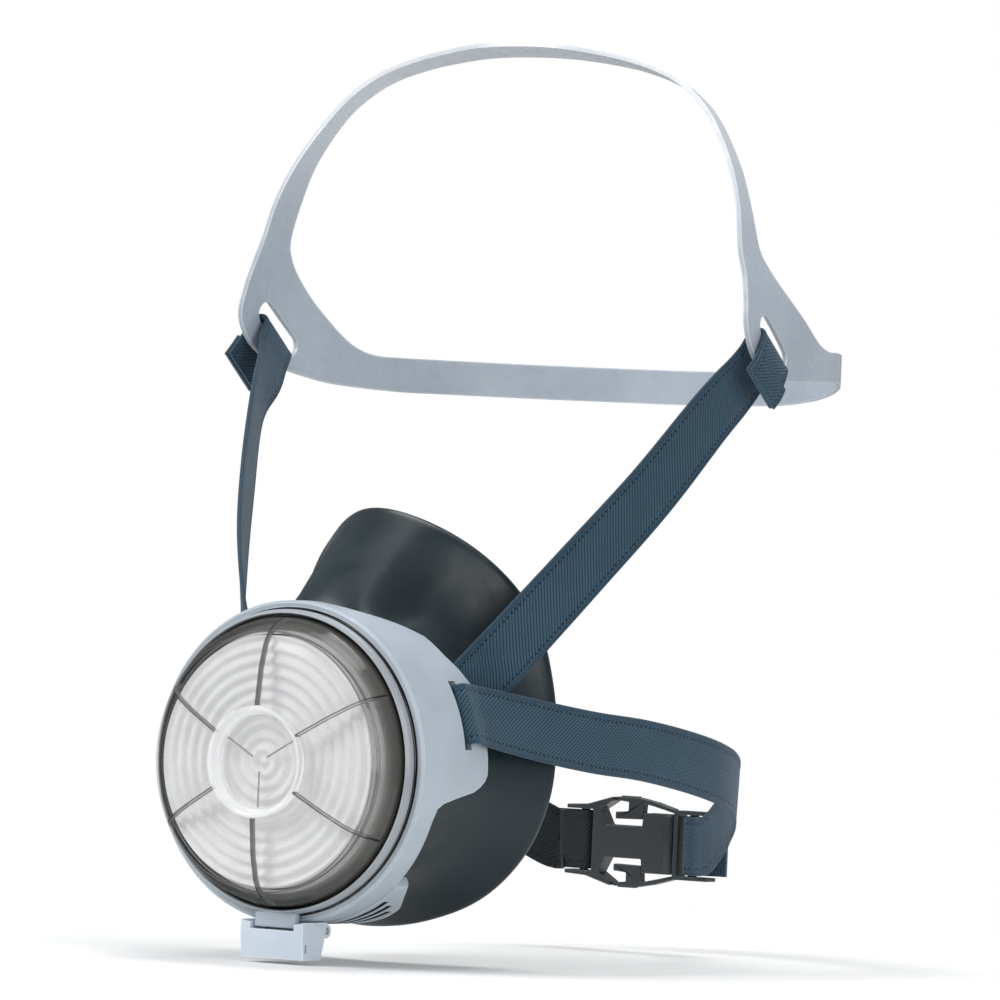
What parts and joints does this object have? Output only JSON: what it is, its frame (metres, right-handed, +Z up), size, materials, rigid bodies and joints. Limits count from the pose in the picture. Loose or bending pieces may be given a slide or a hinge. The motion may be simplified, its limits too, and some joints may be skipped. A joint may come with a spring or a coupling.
{
  "type": "respirator",
  "caption": "Half-mask respirator with a clear front filter cover, rubber face-piece, louvred chin valve, elastic straps, head cradle and a buckled neck strap.",
  "frame": {"origin": "on the filter's axis, in the plane where the face-piece's cheek seal meets the face", "axes": "+Z up the face towards the crown, -Y forward out through the filter, +X the wearer's left"},
  "size_m": [0.1855, 0.2398, 0.2713],
  "materials": {
    "housing_plastic": "satin moulded",
    "ring_plastic": "satin moulded",
    "smoke_plastic": "clear smoke, polished",
    "filter_paper": "pleated paper",
    "filter_plastic": "moulded",
    "rubber": "satin",
    "valve_rubber": "smooth",
    "latch_plastic": "smooth moulded",
    "steel": "plain wire",
    "webbing": "ribbed elastic weave",
    "cradle_plastic": "smooth, slightly see-through",
    "buckle_plastic": "fine moulded grain"
  },
  "bodies": {
    "housing": {"front_housing": "housing_plastic", "facepiece": "rubber", "facepiece_clamp_ring": "housing_plastic", "inhalation_valve_seat": "filter_plastic", "inhalation_valve_stud": "valve_rubber", "exhalation_valve_seat": "filter_plastic", "exhalation_valve_stud": "valve_rubber", "exhalation_cover": "housing_plastic", "filter_media": "filter_paper", "filter_frame": "filter_plastic", "filter_gasket": "valve_rubber", "latch_pin": "steel"},
    "filter_cover": {"filter_cap": "smoke_plastic", "retaining_ring": "ring_plastic"},
    "latch": {"latch": "latch_plastic"},
    "inhalation_flap": {"inhalation_valve": "valve_rubber"},
    "exhalation_flap": {"exhalation_valve": "valve_rubber"},
    "upper_straps": {"left_upper_strap": "webbing", "right_upper_strap": "webbing"},
    "cradle": {"head_cradle": "cradle_plastic"},
    "neck_loop": {"left_lower_strap": "webbing", "right_lower_strap": "webbing", "buckle_female": "buckle_plastic"},
    "buckle_plug": {"buckle_male": "buckle_plastic"},
    "upper_arm": {"release_arm_upper": "buckle_plastic"},
    "lower_arm": {"release_arm_lower": "buckle_plastic"}
  },
  "joints": [
    {"name": "filter_cover_slide", "type": "slide", "parent": "housing", "child": "filter_cover", "axis": [0, -1, 0], "range_m": [0, 0.03]},
    {"name": "latch_hinge", "type": "hinge", "parent": "housing", "child": "latch", "pos_m": [0, -0.0543, -0.0482], "axis": [1, 0, 0], "range_deg": [0, 80]},
    {"name": "inhalation_flap_lift", "type": "slide", "parent": "housing", "child": "inhalation_flap", "axis": [0, 1, 0], "range_m": [0, 0.0015], "stiffness_N_per_m": 20, "springref_m": -0.0005},
    {"name": "exhalation_flap_lift", "type": "slide", "parent": "housing", "child": "exhalation_flap", "axis": [0, 0, -1], "range_m": [0, 0.0015], "stiffness_N_per_m": 20, "springref_m": -0.0005},
    {"name": "upper_strap_swing", "type": "hinge", "parent": "housing", "child": "upper_straps", "pos_m": [0, -0.0382, 0.0155], "axis": [1, 0, 0], "range_deg": [-45, 25], "deforming": ["left_upper_strap", "right_upper_strap"]},
    {"name": "cradle_tilt", "type": "hinge", "parent": "upper_straps", "child": "cradle", "pos_m": [0, 0.0503, 0.1269], "axis": [1, 0, 0], "range_deg": [-8, 8]},
    {"name": "neck_loop_swing", "type": "hinge", "parent": "housing", "child": "neck_loop", "pos_m": [0, -0.0382, 0.0155], "axis": [1, 0, 0], "range_deg": [-20, 25], "deforming": ["left_lower_strap", "right_lower_strap"]},
    {"name": "buckle_plug_slide", "type": "slide", "parent": "neck_loop", "child": "buckle_plug", "axis": [1, 0, 0], "range_m": [0, 0.028]},
    {"name": "upper_arm_squeeze", "type": "hinge", "parent": "buckle_plug", "child": "upper_arm", "pos_m": [0.0132, 0.13, -0.0143], "axis": [0, -1, 0], "range_deg": [0, 4.5], "stiffness_Nm_per_rad": 0.3},
    {"name": "lower_arm_squeeze", "type": "hinge", "parent": "buckle_plug", "child": "lower_arm", "pos_m": [0.0132, 0.13, -0.0347], "axis": [0, 1, 0], "range_deg": [0, 4.5], "stiffness_Nm_per_rad": 0.3}
  ]
}
